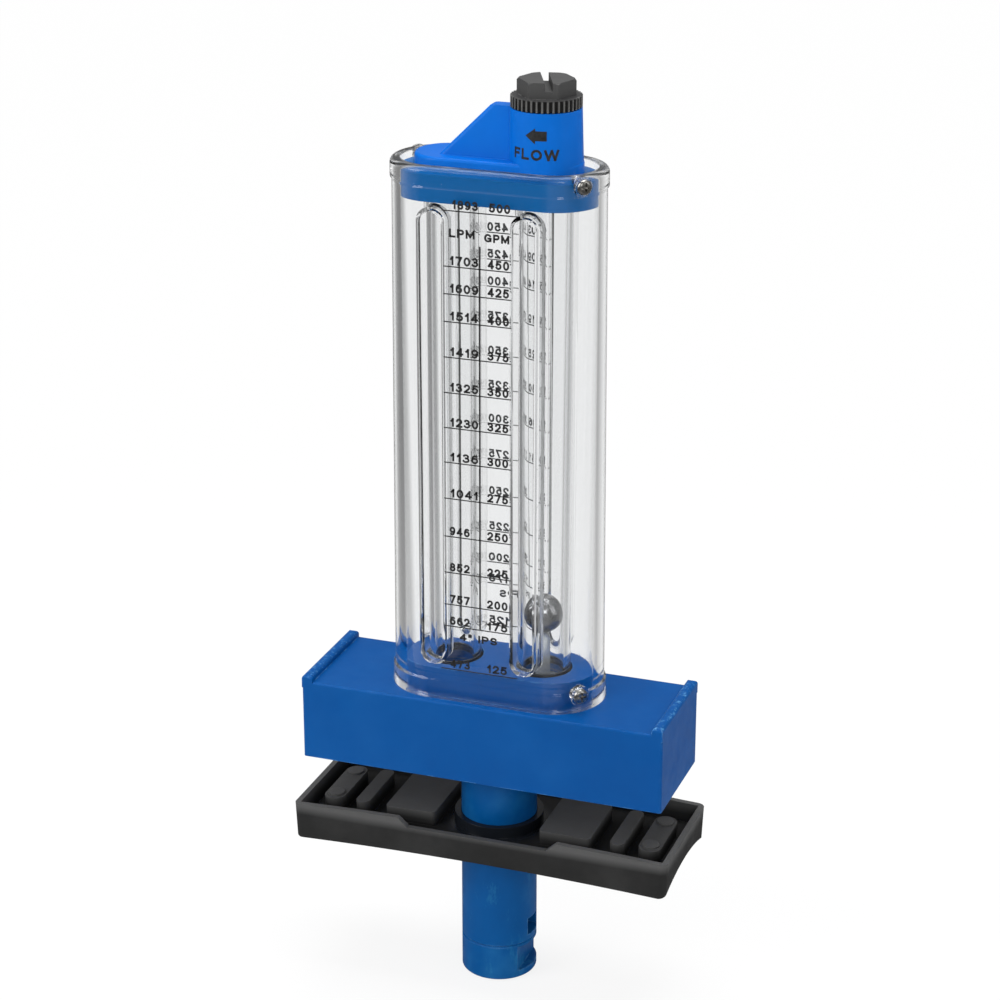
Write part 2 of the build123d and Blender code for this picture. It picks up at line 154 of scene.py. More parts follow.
def radial(obj, corner, z):
    """Turn a piece that lies along +X so that it lies along a screw's axis."""
    turn = math.radians(-SCREW_ANGLE if corner > 0 else 180 - SCREW_ANGLE)
    matrix = Matrix.Translation((corner * HALF_SPAN * MM, 0, z * MM)) @ Matrix.Rotation(turn, 4, "Z")
    obj.data.transform(matrix)
    return obj


def lying_cylinder(name, levels):
    """Solid about the X axis; levels are (radius, x)."""
    obj = turned_solid(name, levels, steps=64)
    obj.data.transform(Matrix.Rotation(math.radians(90), 4, "Y"))
    return obj


def combine(obj, other, operation):
    """Exact boolean, applied, after which the other piece is removed."""
    modifier = obj.modifiers.new("join", "BOOLEAN")
    modifier.operation = operation
    modifier.solver = "EXACT"
    modifier.object = other
    apply_modifiers(obj)
    bpy.data.objects.remove(other)
    return obj


def apply_modifiers(obj):
    bpy.context.view_layer.update()
    mesh = bpy.data.meshes.new_from_object(obj.evaluated_get(bpy.context.evaluated_depsgraph_get()))
    obj.modifiers.clear()
    obj.data = mesh


def finish_edges(obj, width):
    """Smooth faces with marked sharp edges and weighted normals.

    The bevel rounds nothing on the clear body: its clamp takes the width to nothing, which leaves over
    half of the faces without area. Without it the corners stay where they are, but the normals change,
    and with them the refraction, a little.
    """
    bevel = obj.modifiers.new("edges", "BEVEL")
    bevel.width = width * MM
    bevel.segments = 2
    bevel.limit_method = "ANGLE"
    bevel.angle_limit = math.radians(35.0)
    bevel.use_clamp_overlap = True
    bevel.miter_outer = "MITER_ARC"
    for face in obj.data.polygons:
        face.use_smooth = True
    apply_modifiers(obj)
    mark_sharp(obj.data, 40.0)
    weighted = obj.modifiers.new("normals", "WEIGHTED_NORMAL")
    weighted.keep_sharp = True
    weighted.weight = 60
    apply_modifiers(obj)


def mark_sharp(mesh, degrees):
    bm = bmesh.new()
    bm.from_mesh(mesh)
    limit = math.radians(degrees)
    for edge in bm.edges:
        edge.smooth = len(edge.link_faces) == 2 and edge.calc_face_angle(0.0) < limit
    for face in bm.faces:
        face.smooth = True
    bm.to_mesh(mesh)
    bm.free()


# Node helpers
def new_material(name):
    material = bpy.data.materials.new(name)
    material.use_nodes = True
    tree = material.node_tree
    tree.nodes.clear()
    return material, tree


def add(tree, kind, **inputs):
    node = tree.nodes.new(kind)
    for key, value in inputs.items():
        if key in node.bl_rna.properties:
            setattr(node, key, value)
        else:
            node.inputs[key.replace("_", " ")].default_value = value
    return node


def look(name, **inputs):
    """Material with a principled shader; also gives its node tree and that shader."""
    material, tree = new_material(name)
    shader = add(tree, "ShaderNodeBsdfPrincipled", **inputs)
    out = add(tree, "ShaderNodeOutputMaterial")
    tree.links.new(shader.outputs[0], out.inputs[0])
    return material, tree, shader


def calc(tree, first, second, operation="MULTIPLY"):
    """A sum on two sockets."""
    node = add(tree, "ShaderNodeMath", operation=operation)
    tree.links.new(first, node.inputs[0])
    tree.links.new(second, node.inputs[1])
    return node.outputs[0]


def length(tree, vector):
    node = add(tree, "ShaderNodeVectorMath", operation="LENGTH")
    tree.links.new(vector, node.inputs[0])
    return node.outputs["Value"]


def absolute(tree, value):
    node = add(tree, "ShaderNodeMath", operation="ABSOLUTE")
    tree.links.new(value, node.inputs[0])
    return node.outputs[0]


def scaled(tree, value, factor, offset):
    """value * factor + offset"""
    node = add(tree, "ShaderNodeMath", operation="MULTIPLY_ADD")
    tree.links.new(value, node.inputs[0])
    node.inputs[1].default_value = factor
    node.inputs[2].default_value = offset
    return node.outputs[0]


def ray(tree, *kinds):
    """1 for rays of any of these kinds."""
    path = add(tree, "ShaderNodeLightPath")
    found = path.outputs[kinds[0]]
    for kind in kinds[1:]:
        found = calc(tree, found, path.outputs[kind], "MAXIMUM")
    return found


def noise(tree, scale, detail=3.0, roughness=0.5, stretch=None):
    place = add(tree, "ShaderNodeTexCoord")
    source = place.outputs["Object"]
    if stretch:
        mapping = add(tree, "ShaderNodeMapping")
        mapping.inputs["Scale"].default_value = stretch
        tree.links.new(source, mapping.inputs["Vector"])
        source = mapping.outputs["Vector"]
    node = add(tree, "ShaderNodeTexNoise", Scale=scale, Detail=detail, Roughness=roughness)
    tree.links.new(source, node.inputs["Vector"])
    return node


def ramp(tree, source, stops):
    """Colour ramp on a value; stops are (position, grey or colour)."""
    node = add(tree, "ShaderNodeValToRGB")
    elements = node.color_ramp.elements
    while len(elements) < len(stops):
        elements.new(0.5)
    for element, (position, value) in zip(elements, stops):
        element.position = position
        element.color = (value, value, value, 1) if isinstance(value, float) else (*value, 1)
    tree.links.new(source, node.inputs["Fac"])
    return node.outputs["Color"]


def blend_colour(tree, factor, first, second, kind="MIX"):
    node = tree.nodes.new("ShaderNodeMix")
    node.data_type = "RGBA"
    node.blend_type = kind
    for socket, value in ((node.inputs[0], factor), (node.inputs[6], first), (node.inputs[7], second)):
        if hasattr(value, "links"):
            tree.links.new(value, socket)
        elif isinstance(value, (int, float)):
            socket.default_value = value
        else:
            socket.default_value = (*value, 1)
    return node.outputs[2]


def edge_mask(tree, radius):
    """White on edges: how far a rounded normal leans from the true one."""
    bevel = add(tree, "ShaderNodeBevel")
    bevel.samples = 4
    bevel.inputs["Radius"].default_value = radius * MM
    geometry = add(tree, "ShaderNodeNewGeometry")
    dot = add(tree, "ShaderNodeVectorMath", operation="DOT_PRODUCT")
    tree.links.new(bevel.outputs["Normal"], dot.inputs[0])
    tree.links.new(geometry.outputs["Normal"], dot.inputs[1])
    return ramp(tree, dot.outputs["Value"], [(0.75, 1.0), (1.0, 0.0)])


def moulded(
    name, colour, light, dark, roughness, grain=2600.0, grain_depth=0.006, round_edges=0.25,
    wear=0.35, wear_colour=(0.14, 0.36, 0.66), shine=0.1, wear_reach=0.35,
):
    """Moulded plastic or rubber: fine grain, faint cloudiness, rubbed edges."""
    material, tree, shader = look(name)
    shader.inputs["Specular IOR Level"].default_value = shine
    cloud = noise(tree, 45.0, 4.0, 0.6)
    tone = ramp(tree, cloud.outputs["Fac"], [(0.3, dark), (0.5, colour), (0.72, light)])
    fleck = noise(tree, 900.0, 2.0, 0.7)
    flecks = ramp(tree, fleck.outputs["Fac"], [(0.7, 0.0), (0.8, 0.35)])
    tone = blend_colour(tree, flecks, tone, light)
    if wear:
        mask = edge_mask(tree, wear_reach)
        patches = ramp(tree, noise(tree, 260.0, 5.0, 0.7).outputs["Fac"], [(0.45, 0.0), (0.7, wear)])
        tone = blend_colour(tree, calc(tree, mask, patches), tone, wear_colour)
    tree.links.new(tone, shader.inputs["Base Color"])
    smears = noise(tree, 120.0, 4.0, 0.6).outputs["Fac"]
    gloss = ramp(tree, smears, [(0.3, roughness - 0.06), (0.7, roughness + 0.08)])
    tree.links.new(gloss, shader.inputs["Roughness"])
    bump = add(tree, "ShaderNodeBump", Strength=0.5, Distance=grain_depth * MM)
    tree.links.new(noise(tree, grain, 3.0, 0.6).outputs["Fac"], bump.inputs["Height"])
    if round_edges:
        bevel = add(tree, "ShaderNodeBevel")
        bevel.samples = 4
        bevel.inputs["Radius"].default_value = round_edges * MM
        tree.links.new(bevel.outputs["Normal"], bump.inputs["Normal"])
    tree.links.new(bump.outputs["Normal"], shader.inputs["Normal"])
    return material


def rest_place(tree, node):
    """Where a point of a CAD node is when the object is at rest, in metres."""
    place = add(tree, "ShaderNodeTexCoord")
    shift = add(tree, "ShaderNodeVectorMath", operation="ADD")
    shift.inputs[1].default_value = nodes[node].matrix_world.translation
    tree.links.new(place.outputs["Object"], shift.inputs[0])
    return shift.outputs[0]


def rest_axes(tree, node):
    """The X, Y and Z of that place."""
    split = add(tree, "ShaderNodeSeparateXYZ")
    tree.links.new(rest_place(tree, node), split.inputs[0])
    return split.outputs["X"], split.outputs["Y"], split.outputs["Z"]


def span(tree, value, none, full):
    """0 at one value and 1 at another, both in millimetres."""
    mapped = add(tree, "ShaderNodeMapRange")
    mapped.inputs["From Min"].default_value = none * MM
    mapped.inputs["From Max"].default_value = full * MM
    tree.links.new(value, mapped.inputs["Value"])
    return mapped.outputs["Result"]


def height_mask(material, node, none, full):
    """0 at one height and 1 at another."""
    tree = material.node_tree
    return span(tree, rest_axes(tree, node)[2], none, full)


def reach_mask(material, node, full, none):
    """1 close to the Z axis and 0 further off."""
    tree = material.node_tree
    flat = add(tree, "ShaderNodeVectorMath", operation="MULTIPLY")
    flat.inputs[1].default_value = (1, 1, 0)
    tree.links.new(rest_place(tree, node), flat.inputs[0])
    return span(tree, length(tree, flat.outputs[0]), none, full)


def principled(material):
    return next(n for n in material.node_tree.nodes if n.type == "BSDF_PRINCIPLED")


def retint(material, mask, colour):
    socket = principled(material).inputs["Base Color"]
    tree = material.node_tree
    tree.links.new(blend_colour(tree, mask, socket.links[0].from_socket, colour), socket)


def regloss(material, mask, roughness):
    socket = principled(material).inputs["Roughness"]
    tree = material.node_tree
    tree.links.new(blend_colour(tree, mask, socket.links[0].from_socket, (roughness,) * 3), socket)


def mark_edges(material, node):
    """Chalky rub marks on the saddle's upper front edge, towards its ends, and on the end lips."""
    tree = material.node_tree
    x, y, z = rest_axes(tree, node)
    side = absolute(tree, x)
    edge = calc(tree, span(tree, z, DECK - 1.6, DECK - 0.4), span(tree, y, -16.6, -17.8))
    edge = calc(tree, edge, span(tree, side, 28.0, 42.0))
    lip = calc(tree, span(tree, z, DECK + 0.9, DECK + 1.5), span(tree, side, 46.0, 47.0))
    rough = ramp(tree, noise(tree, 700.0, 6.0, 0.75).outputs["Fac"], [(0.54, 0.0), (0.66, 0.6)])
    retint(material, calc(tree, calc(tree, edge, lip, "MAXIMUM"), rough), (0.13, 0.38, 0.68))


def pocket_shade_mask(material):
    """1 on the floor of the gasket's pocket, which is painted darker as shade."""
    tree = material.node_tree
    _, y, z = rest_axes(tree, "saddle_gasket")
    return calc(tree, span(tree, z, 45.2, 44.6), span(tree, absolute(tree, y), 16.9, 16.5))


def mark_knurls(material):
    """Painted shade in the gaps between the knurls round the plug's flange, which go near black; lighter
    ribs; and a lighter head.
    """
    tree = material.node_tree
    x, y, z = rest_axes(tree, "top_plug")
    across = add(tree, "ShaderNodeMath", operation="SUBTRACT")
    tree.links.new(x, across.inputs[0])
    across.inputs[1].default_value = TUBE_X * MM
    angle = calc(tree, y, across.outputs[0], "ARCTAN2")
    swing = add(tree, "ShaderNodeMath", operation="COSINE")
    tree.links.new(scaled(tree, angle, KNURLS, -math.radians(KNURLS * KNURL_TURN)), swing.inputs[0])
    flat = add(tree, "ShaderNodeCombineXYZ")
    tree.links.new(across.outputs[0], flat.inputs["X"])
    tree.links.new(y, flat.inputs["Y"])
    outside = span(tree, length(tree, flat.outputs[0]), 7.9, 8.1)
    flange = calc(tree, outside, span(tree, z, FLANGE_BOTTOM + 2.75, FLANGE_BOTTOM + 2.6))
    gap_shade = calc(tree, flange, ramp(tree, swing.outputs[0], [(0.0, 1.0), (0.12, 0.0)]))
    rib = calc(tree, flange, ramp(tree, swing.outputs[0], [(0.55, 0.0), (0.9, 0.8)]))
    head = span(tree, z, FLANGE_BOTTOM + 2.9, FLANGE_BOTTOM + 3.1)
    retint(material, head, (0.058, 0.058, 0.058))
    retint(material, rib, (0.13, 0.13, 0.125))
    # Painted shade: the gaps between the knurls are painted near black
    retint(material, gap_shade, (0.003, 0.003, 0.003))


def metal(name, colour, roughness):
    """Metal with faint cloudiness and fine scratches."""
    material, tree, shader = look(name, Metallic=1.0)
    darker = tuple(c * 0.82 for c in colour)
    tone = ramp(tree, noise(tree, 300.0, 5.0, 0.65).outputs["Fac"], [(0.3, darker), (0.7, colour)])
    tree.links.new(tone, shader.inputs["Base Color"])
    smears = noise(tree, 700.0, 4.0, 0.6).outputs["Fac"]
    gloss = ramp(tree, smears, [(0.3, roughness * 0.7), (0.7, roughness * 1.4)])
    tree.links.new(gloss, shader.inputs["Roughness"])
    bump = add(tree, "ShaderNodeBump", Strength=0.4, Distance=0.02 * MM)
    tree.links.new(noise(tree, 1500.0, 3.0, 0.6).outputs["Fac"], bump.inputs["Height"])
    tree.links.new(bump.outputs["Normal"], shader.inputs["Normal"])
    return material


def clear_plastic():
    """Clear moulding: bends the view, and lets lamps and soft light straight through to what it holds."""
    material, tree = new_material("clear_plastic_look")
    glass = add(tree, "ShaderNodeBsdfPrincipled", Roughness=0.02, IOR=1.46)
    glass.inputs["Base Color"].default_value = (0.955, 0.96, 0.963, 1)
    glass.inputs["Transmission Weight"].default_value = 1.0
    haze = ramp(tree, noise(tree, 60.0, 4.0, 0.6).outputs["Fac"], [(0.45, 0.0), (0.8, 0.03)])
    tree.links.new(haze, glass.inputs["Roughness"])
    regloss(material, height_mask(material, "meter_body", 224.9, 225.8), 0.28)
    regloss(material, height_mask(material, "meter_body", 89.6, 89.0), 0.10)
    through = add(tree, "ShaderNodeBsdfTransparent")
    through.inputs["Color"].default_value = (0.97, 0.98, 0.985, 1)
    mix = add(tree, "ShaderNodeMixShader")
    tree.links.new(ray(tree, "Is Shadow Ray", "Is Diffuse Ray"), mix.inputs[0])
    tree.links.new(glass.outputs[0], mix.inputs[1])
    tree.links.new(through.outputs[0], mix.inputs[2])
    out = add(tree, "ShaderNodeOutputMaterial")
    tree.links.new(mix.outputs[0], out.inputs[0])
    return material


def ink(name):
    """Printing ink, a little uneven."""
    material, tree, shader = look(name, Roughness=0.45)
    patches = noise(tree, 900.0, 4.0, 0.7).outputs["Fac"]
    tone = ramp(tree, patches, [(0.35, (0.006, 0.006, 0.006)), (0.75, (0.03, 0.03, 0.031))])
    tree.links.new(tone, shader.inputs["Base Color"])
    return material


def milky(name):
    """Plastic that lets light through without being clear."""
    material, tree, shader = look(name, Roughness=0.25, IOR=1.5)
    shader.inputs["Transmission Weight"].default_value = 0.75
    patches = noise(tree, 200.0).outputs["Fac"]
    tone = ramp(tree, patches, [(0.3, (0.70, 0.73, 0.75)), (0.7, (0.82, 0.84, 0.85))])
    tree.links.new(tone, shader.inputs["Base Color"])
    return material


def dress(material, *names):
    """Gives CAD nodes' own meshes a better material."""
    for name in names:
        for slot in nodes[name].material_slots:
            slot.material = material


# Looks; each moulded one has its colour, then its lighter and its darker patches
blue = moulded(
    "blue_plastic_look", (0.0, 0.068, 0.268), (0.002, 0.078, 0.290), (0.0, 0.061, 0.248), 0.36,
    wear=0.9, wear_reach=0.6,
)
cap_blue = moulded("cap_plastic_look", (0.0, 0.118, 0.51), (0.002, 0.130, 0.56), (0.0, 0.110, 0.48), 0.34)
probe_blue = moulded(
    "probe_plastic_look", (0.0, 0.076, 0.265), (0.010, 0.12, 0.33), (0.0, 0.066, 0.235), 0.4,
    wear=0.9, wear_reach=0.8,
)
# Painted shade: the cap is painted a darker blue below 224.5, fading up to 225.0, for the shade the clear
# body casts on its insert
retint(cap_blue, height_mask(cap_blue, "top_cap", 225.0, 224.5), (0.0, 0.092, 0.290))
mark_edges(blue, "saddle")
scuffs = noise(probe_blue.node_tree, 170.0, 6.0, 0.75, (1.0, 1.0, 0.35)).outputs["Fac"]
scuffed = ramp(probe_blue.node_tree, scuffs, [(0.58, 0.0), (0.72, 0.5)])
retint(probe_blue, scuffed, (0.03, 0.22, 0.40))
rubber = moulded(
    "gasket_rubber_look", (0.019, 0.019, 0.019), (0.029, 0.029, 0.029), (0.014, 0.014, 0.014), 0.55,
    grain=1800.0, grain_depth=0.02, wear=0.5, wear_colour=(0.10, 0.10, 0.10), shine=0.2,
)
retint(rubber, height_mask(rubber, "saddle_gasket", 45.6, 48.0), (0.078, 0.078, 0.078))
# Painted shade: the floor of the gasket's pocket is painted darker
retint(rubber, pocket_shade_mask(rubber), (0.011, 0.011, 0.011))
# Painted shade and painted blue reflection of the tube: the rubber round the tube is painted darker and
# bluer; it is also made glossier
retint(rubber, reach_mask(rubber, "saddle_gasket", 13.0, 15.5), (0.010, 0.012, 0.016))
regloss(rubber, reach_mask(rubber, "saddle_gasket", 13.0, 15.5), 0.26)
seal_rubber = moulded(
    "seal_rubber_look", (0.012, 0.012, 0.012), (0.02, 0.02, 0.02), (0.008, 0.008, 0.008), 0.45,
    wear=0, round_edges=0,
)
black = moulded(
    "black_plastic_look", (0.040, 0.040, 0.041), (0.06, 0.06, 0.061), (0.030, 0.030, 0.031), 0.5,
    grain=2200.0, grain_depth=0.012, wear=1.0, wear_colour=(0.34, 0.34, 0.33), shine=0.3, wear_reach=0.5,
)
mark_knurls(black)
ball_steel = metal("ball_steel_look", (0.25, 0.25, 0.255), 0.16)
screw_steel = metal("screw_steel_look", (0.36, 0.35, 0.33), 0.26)
clear = clear_plastic()
print_ink = ink("print_ink_look")
stop_plastic = milky("stop_plastic_look")

dress(blue, "saddle")
dress(probe_blue, "pitot_tube", "pitot_tip")
dress(rubber, "saddle_gasket")
dress(cap_blue, "top_cap")
dress(stop_plastic, "float_stop")
dress(ball_steel, "float_ball")
dress(black, "top_plug")
dress(
    seal_rubber,
    "metering_seal_lower", "return_seal_lower", "metering_seal_upper", "return_seal_upper", "plug_seal",
)
dress(screw_steel, "screw_lower_front", "screw_lower_rear", "screw_upper_front", "screw_upper_rear")


# Clear body: a slim wall all round, two tubes, and a channel of even wall round each outside slot
def shell_radius(z):
    """The outer wall leans in towards the top."""
    return BODY_R + (TOP_R - BODY_R) * (z - BODY_BOTTOM) / (BODY_TOP - BODY_BOTTOM)


def soft_step(low, high, rise, steps=8):
    """Levels of an S-shaped step between a wall's radius and one that stands proud of it."""
    levels = []
    for i in range(steps + 1):
        t = i / steps
        z = low + (high - low) * t
        share = t * t * (3 - 2 * t) if rise else 1 - t * t * (3 - 2 * t)
        levels.append((shell_radius(z) + BAND * share, z))
    return levels


EARS = ((SCREW_LOW, BODY_R + EAR_PROUD), (SCREW_HIGH, TOP_R + EAR_PROUD))


def make_clear_body():
    levels = arc_levels(BODY_R + BAND - FOOT_ROUND, BODY_BOTTOM + FOOT_ROUND, FOOT_ROUND, -90, 0, 4)
    levels += soft_step(LOWER_BAND_TOP - BAND_STEP, LOWER_BAND_TOP, False)
    levels += soft_step(UPPER_BAND_BOTTOM, UPPER_BAND_BOTTOM + BAND_STEP, True)
    levels += arc_levels(TOP_R + BAND - RIM_ROUND, BODY_TOP - RIM_ROUND, RIM_ROUND, 0, 90, 10)
    body = stadium_solid("clear_body", HALF_SPAN, levels)
    for corner in (-1, 1):
        for z, proud in EARS:
            top = min(EAR_R, BODY_TOP - z - 0.01)
            ear_levels = [(top, TOP_R - 1)]
            ear_levels += arc_levels(top - EAR_ROUND, proud - EAR_ROUND, EAR_ROUND, 0, 90, 3)
            combine(body, radial(lying_cylinder("ear", ear_levels), corner, z), "UNION")
    hollow = stadium_solid("hollow", HALF_SPAN, [(POCKET_R, DECK - 2), (POCKET_R, BODY_TOP + 2)])
    for side in (-1, 1):
        x = side * TUBE_X
        tube = turned_solid("tube", [(TUBE_R, POCKET_ROOF), (TUBE_R, POCKET_FLOOR)], x)
        combine(hollow, tube, "DIFFERENCE")
        for face in (-1, 1):
            middle = x + face * SLOT_SHIFT
            channel = slot_prism("channel", middle, face, CHANNEL_WALL, TUBE_R - 2.4, POCKET_R + 1)
            combine(hollow, channel, "DIFFERENCE")
        nozzle_levels = [(NOZZLE_R - 0.3, POCKET_ROOF - NOZZLE), (NOZZLE_R, POCKET_ROOF - NOZZLE + 0.3)]
        nozzle_levels += [(NOZZLE_R, POCKET_FLOOR + NOZZLE - 0.3), (NOZZLE_R - 0.3, POCKET_FLOOR + NOZZLE)]
        combine(hollow, turned_solid("nozzle", nozzle_levels, x), "DIFFERENCE")
    combine(body, hollow, "DIFFERENCE")
    low, high = POCKET_ROOF - NOZZLE, POCKET_FLOOR + NOZZLE
    bore = [(METER_R_LOW, low - 1), (METER_R_LOW, low), (METER_R_HIGH, high), (METER_R_HIGH, high + 1)]
    combine(body, turned_solid("bore", bore, TUBE_X), "DIFFERENCE")
    combine(body, turned_solid("bore", [(RETURN_R, low - 1), (RETURN_R, high + 1)], -TUBE_X), "DIFFERENCE")
    for side in (-1, 1):
        for face in (-1, 1):
            x = side * TUBE_X
            slot = slot_prism("slot", x + face * SLOT_SHIFT, face, 0.0, SLOT_FLOOR_R - 2, BODY_R + 2)
            core = turned_solid("core", [(SLOT_FLOOR_R, SLOT_BOTTOM - 5), (SLOT_FLOOR_R, SLOT_TOP + 5)], x)
            combine(slot, core, "DIFFERENCE")
            combine(body, slot, "DIFFERENCE")
        for z, proud in EARS:
            hole = lying_cylinder("hole", [(CLEAR_R, POCKET_R - 1), (CLEAR_R, proud)])
            combine(body, radial(hole, side, z), "DIFFERENCE")
            recess = lying_cylinder("recess", [(RECESS_R, proud - RECESS_DEPTH), (RECESS_R, proud + 1)])
            combine(body, radial(recess, side, z), "DIFFERENCE")
    finish_edges(body, 0.22)
    return body


def slot_prism(name, x, face, spare, near, far):
    """Upright bar with round ends, as wide as a slot plus a spare, between two depths off the middle."""
    radius = SLOT_W / 2
    outline = []
    for centre, start in ((SLOT_TOP - radius, 0.0), (SLOT_BOTTOM + radius, 180.0)):
        for i in range(33):
            angle = math.radians(start + 180 * i / 32)
            reach = radius + spare
            outline.append((x + reach * math.cos(angle), centre + reach * math.sin(angle)))
    return stack(name, [[(px, face * y, pz) for px, pz in outline] for y in (near, far)])


clear_body = make_clear_body()
clear_body.data.materials.clear()
clear_body.data.materials.append(clear)
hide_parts("meter_body")
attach(clear_body, "meter")


# Where each seal is pressed flat against the end of a tube
def make_contact_rings():
    bm = bmesh.new()
    for x in (-TUBE_X, TUBE_X):
        for low, high in ((POCKET_ROOF + 0.03, POCKET_ROOF + 0.2), (POCKET_FLOOR - 0.2, POCKET_FLOOR - 0.03)):
            corners = [(7.15, low), (7.15, high), (6.1, high), (6.1, low)]
            rings = [[bm.verts.new(p) for p in circle_ring(r, z, x)] for r, z in corners]
            for a, b in zip(rings, rings[1:] + rings[:1]):
                for i in range(96):
                    j = (i + 1) % 96
                    bm.faces.new((a[i], a[j], b[j], b[i]))
    obj = mesh_object("seal_contact_rings", bm)
    obj.data.materials.append(seal_rubber)
    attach(obj, "meter")


make_contact_rings()


# Lettering: each sign is a width and its strokes, drawn in a box of 1 by 1
def arc(cu, cv, ru, rv, start, end, steps=16):
    points = []
    for i in range(steps + 1):
        angle = math.radians(start + (end - start) * i / steps)
        points.append((cu + ru * math.cos(angle), cv + rv * math.sin(angle)))
    return points


ROUND = arc(0.5, 0.5, 0.5, 0.5, 0, 360, 28)
SIGNS = {
    "0": (0.60, [ROUND]),
    "1": (0.40, [[(0.78, 0), (0.78, 1)], [(0.78, 0.97), (0.1, 0.7)]]),
    "2": (0.60, [arc(0.5, 0.7, 0.48, 0.3, 165, -38) + [(0.02, 0.0)], [(0.02, 0.0), (1, 0)]]),
    "3": (0.60, [arc(0.45, 0.76, 0.43, 0.24, 150, -90), arc(0.45, 0.27, 0.53, 0.27, 90, -150)]),
    "4": (0.62, [[(0.72, 0), (0.72, 1)], [(0.70, 0.98), (0.02, 0.3)], [(0.02, 0.26), (0.98, 0.26)]]),
    "5": (0.60, [[(0.18, 1), (0.92, 1)], [(0.18, 1), (0.08, 0.5)], arc(0.46, 0.33, 0.52, 0.33, 138, -150)]),
    "6": (0.60, [arc(0.5, 0.32, 0.5, 0.32, 0, 360, 24), arc(0.58, 0.45, 0.58, 0.55, 62, 190)]),
    "7": (0.60, [[(0, 1), (1, 1)], [(0.98, 0.98), (0.35, 0)]]),
    "8": (0.60, [arc(0.5, 0.76, 0.42, 0.24, 0, 360, 24), arc(0.5, 0.27, 0.5, 0.27, 0, 360, 24)]),
    "9": (0.60, [arc(0.5, 0.68, 0.5, 0.32, 0, 360, 24), arc(0.42, 0.55, 0.58, 0.55, -118, 10)]),
    "L": (0.56, [[(0, 0), (0, 1)], [(0, 0), (1, 0)]]),
    "P": (0.62, [[(0, 0), (0, 1)], [(0, 1), (0.6, 1)] + arc(0.6, 0.72, 0.4, 0.28, 90, -90) + [(0, 0.44)]]),
    "M": (0.78, [[(0, 0), (0, 1)], [(1, 0), (1, 1)], [(0, 1), (0.5, 0.12)], [(1, 1), (0.5, 0.12)]]),
    "G": (0.72, [
        arc(0.5, 0.5, 0.5, 0.5, 42, 318, 24), [(0.58, 0.44), (1, 0.44)], [(0.97, 0.44), (0.97, 0.08)],
    ]),
    "I": (0.18, [[(0.5, 0), (0.5, 1)]]),
    "S": (0.62, [arc(0.5, 0.75, 0.45, 0.25, 25, 270), arc(0.5, 0.25, 0.5, 0.25, 90, -155)]),
    "F": (0.54, [[(0, 0), (0, 1)], [(0, 1), (1, 1)], [(0, 0.52), (0.85, 0.52)]]),
    "O": (0.74, [ROUND]),
    "W": (0.98, [[(0, 1), (0.24, 0)], [(0.24, 0), (0.5, 1)], [(0.5, 1), (0.76, 0)], [(0.76, 0), (1, 1)]]),
    '"': (0.34, [[(0.1, 0.72), (0.1, 1)], [(0.9, 0.72), (0.9, 1)]]),
    " ": (0.30, []),
}
SIGN_GAP = 0.13
INK_BACK = 0.004
INK_FRONT = 0.03
STROKE = 0.52


def ribbon(bm, points, width):
    """Flat stroke of even width with square ends, through points in the XZ plane."""
    closed = math.dist(points[0], points[-1]) < 1e-6
    if closed:
        points = points[:-1]
    count = len(points)
    left, right = [], []
    for i, (x, z) in enumerate(points):
        before = points[i - 1] if i > 0 or closed else points[i]
        after = points[(i + 1) % count] if i < count - 1 or closed else points[i]
        lead = Vector((x - before[0], z - before[1]))
        follow = Vector((after[0] - x, after[1] - z))
        lead = lead.normalized() if lead.length > 1e-9 else follow.normalized()
        follow = follow.normalized() if follow.length > 1e-9 else lead
        along = (lead + follow).normalized()
        reach = width / 2 / max(0.6, along.dot(lead))
        if not closed and i == 0:
            x, z = x - along.x * width / 2, z - along.y * width / 2
        if not closed and i == count - 1:
            x, z = x + along.x * width / 2, z + along.y * width / 2
        left.append((x - along.y * reach, z + along.x * reach))
        right.append((x + along.y * reach, z - along.x * reach))
    depths = (-INK_FRONT, -INK_BACK)
    made = [[bm.verts.new((x, y, z)) for x, z in row] for row in (left, right) for y in depths]
    runs = count if closed else count - 1
    for i in range(runs):
        j = (i + 1) % count
        for a, b in ((0, 2), (2, 3), (3, 1), (1, 0)):
            bm.faces.new((made[a][i], made[b][i], made[b][j], made[a][j]))
    if not closed:
        for i in (0, count - 1):
            bm.faces.new((made[0][i], made[2][i], made[3][i], made[1][i]))


def lettering(bm, text, left, right, baseline, height, stroke=STROKE):
    """Bold lettering in the XZ plane that fills a width and a cap height."""
    total = sum(SIGNS[sign][0] for sign in text) + SIGN_GAP * (len(text) - 1)
    scale = (right - left) / total
    x = left
    for sign in text:
        wide, strokes = SIGNS[sign]
        inner = max(wide * scale - stroke, 0.01)
        tall = height - stroke
        for points in strokes:
            placed = [(x + stroke / 2 + u * inner, baseline + stroke / 2 + v * tall) for u, v in points]
            ribbon(bm, placed, stroke)
        x += (wide + SIGN_GAP) * scale


def bar(bm, x0, x1, z0, z1):
    """Level line of the scale."""
    ribbon(bm, [(x0 + (z1 - z0) / 2, (z0 + z1) / 2), (x1 - (z1 - z0) / 2, (z0 + z1) / 2)], z1 - z0)


# Printed scale on the front and the back of the clear body
TICKS = [
    (202.1, "1703", "450"), (195.0, "1609", "425"), (187.8, "1514", "400"), (178.5, "1419", "375"),
    (169.15, "1325", "350"), (159.8, "1230", "325"), (150.5, "1136", "300"), (140.7, "1041", "275"),
    (130.3, "946", "250"), (120.3, "852", "225"), (111.4, "757", "200"), (105.3, "662", "175"),
]
REAR_RISE = 2.5


